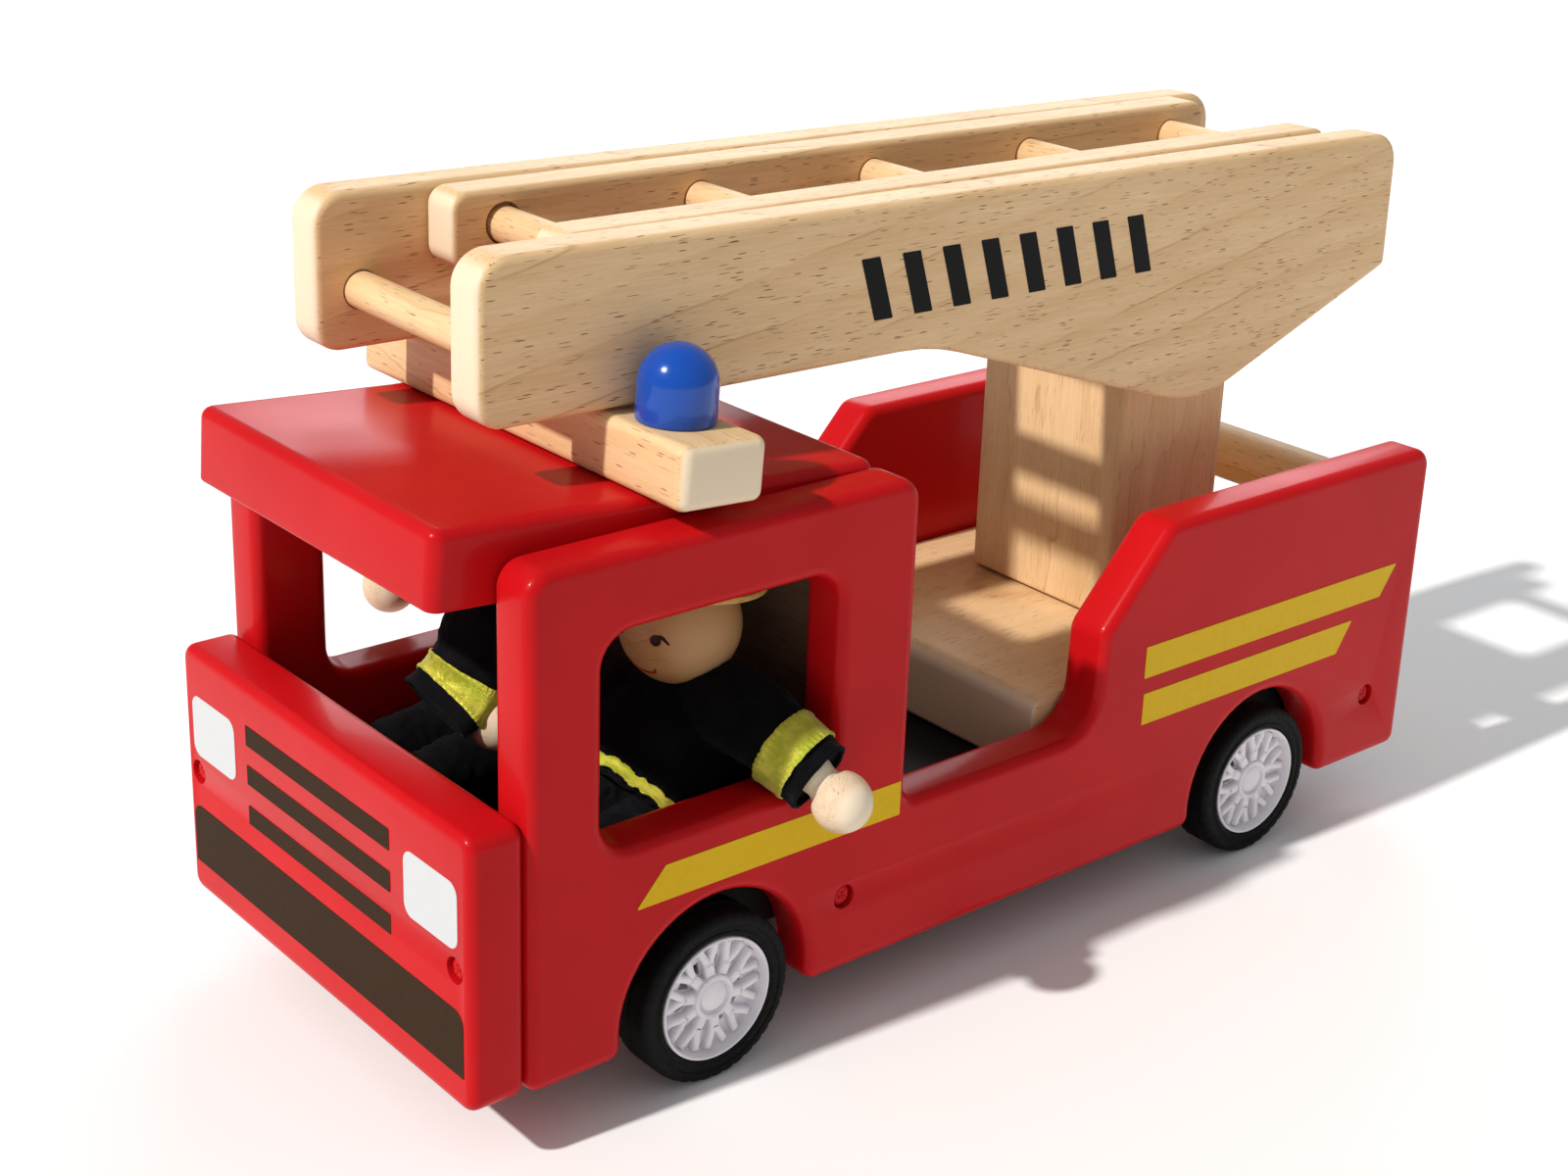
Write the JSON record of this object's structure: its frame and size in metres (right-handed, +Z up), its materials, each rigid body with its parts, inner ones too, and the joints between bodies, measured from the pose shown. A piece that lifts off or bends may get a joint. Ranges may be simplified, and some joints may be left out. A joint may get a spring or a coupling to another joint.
{
  "type": "toy fire engine",
  "caption": "Wooden toy fire engine with an extending turntable ladder, spinning wheels, a warning light and two cloth firefighter dolls seated in its open cab.",
  "frame": {"origin": "on the ground, under the middle of the toy", "axes": "+X forward, +Y to the vehicle's left, +Z up"},
  "size_m": [0.362, 0.1858, 0.2205],
  "materials": {
    "red_paint": "glossy red enamel on wood",
    "wood": "clear-lacquered rubberwood with short dark pores",
    "doll_wood": "clear-lacquered turned beads",
    "black_paint": "satin black paint on wood",
    "blue_paint": "high-gloss blue enamel",
    "steel": "bright zinc",
    "painted_screw": "screw heads under the red enamel",
    "rubber": "matt moulded rubber",
    "white_plastic": "semi-gloss moulded white",
    "fibre": "pressed fibre washer",
    "cloth": "thin black woven cloth",
    "ribbon": "metallic yellow-green woven ribbon",
    "hat_paint": "thin pale yellow stain on turned wood",
    "yellow_film": "printed yellow stripes",
    "brown_film": "printed dark brown bars",
    "white_film": "printed white lamps",
    "black_film": "printed black bars"
  },
  "bodies": {
    "root": {"left_side_panel": "red_paint", "right_side_panel": "red_paint", "front_panel": "red_paint", "left_front_screw": "painted_screw", "left_rear_screw": "painted_screw", "left_bumper_screw": "painted_screw", "right_front_screw": "painted_screw", "right_rear_screw": "painted_screw", "right_bumper_screw": "painted_screw", "floor_board": "black_paint", "deck_block": "wood", "cab_rear_wall": "wood", "rear_crossbar": "wood", "roof": "red_paint", "light_bar": "wood", "beacon": "blue_paint", "front_axle_block": "wood", "rear_axle_block": "wood", "driver_head": "doll_wood", "driver_hat": "hat_paint", "driver_suit": "cloth", "driver_left_hand": "doll_wood", "driver_right_hand": "doll_wood", "mate_head": "doll_wood", "mate_hat": "hat_paint", "mate_suit": "cloth", "mate_left_hand": "doll_wood", "mate_right_hand": "doll_wood"},
    "front_axle_set": {"front_axle": "steel", "front_left_rim": "white_plastic", "front_left_tyre": "rubber", "front_right_rim": "white_plastic", "front_right_tyre": "rubber"},
    "rear_axle_set": {"rear_axle": "steel", "rear_left_rim": "white_plastic", "rear_left_tyre": "rubber", "rear_right_rim": "white_plastic", "rear_right_tyre": "rubber"},
    "turntable": {"pedestal": "wood", "turntable_post": "wood", "turntable_washer": "fibre", "retaining_washer": "steel", "retaining_screw": "steel"},
    "outer_ladder": {"left_ladder_beam": "wood", "right_ladder_beam": "wood", "ladder_pivot_dowel": "wood", "outer_rung_front": "wood", "outer_rung_middle": "wood", "outer_rung_rear": "wood"},
    "inner_ladder": {"left_inner_rail": "wood", "right_inner_rail": "wood", "inner_rung_1": "wood", "inner_rung_2": "wood", "inner_rung_3": "wood", "inner_rung_4": "wood", "inner_rung_5": "wood"}
  },
  "joints": [
    {"name": "front_axle_spin", "type": "hinge", "parent": "root", "child": "front_axle_set", "pos_m": [0.106, 0, 0.024], "axis": [0, 1, 0], "continuous": true},
    {"name": "rear_axle_spin", "type": "hinge", "parent": "root", "child": "rear_axle_set", "pos_m": [-0.1085, 0, 0.024], "axis": [0, 1, 0], "continuous": true},
    {"name": "turntable_turn", "type": "hinge", "parent": "root", "child": "turntable", "pos_m": [-0.104, 0, 0.0692], "axis": [0, 0, 1], "range_deg": [-325, 0]},
    {"name": "ladder_raise", "type": "hinge", "parent": "turntable", "child": "outer_ladder", "pos_m": [-0.104, 0, 0.1612], "axis": [-0.0209, -0.9998, 0], "range_deg": [0, 50]},
    {"name": "ladder_extend", "type": "slide", "parent": "outer_ladder", "child": "inner_ladder", "axis": [0.9998, -0.0209, 0.0052], "range_m": [0, 0.15]}
  ]
}
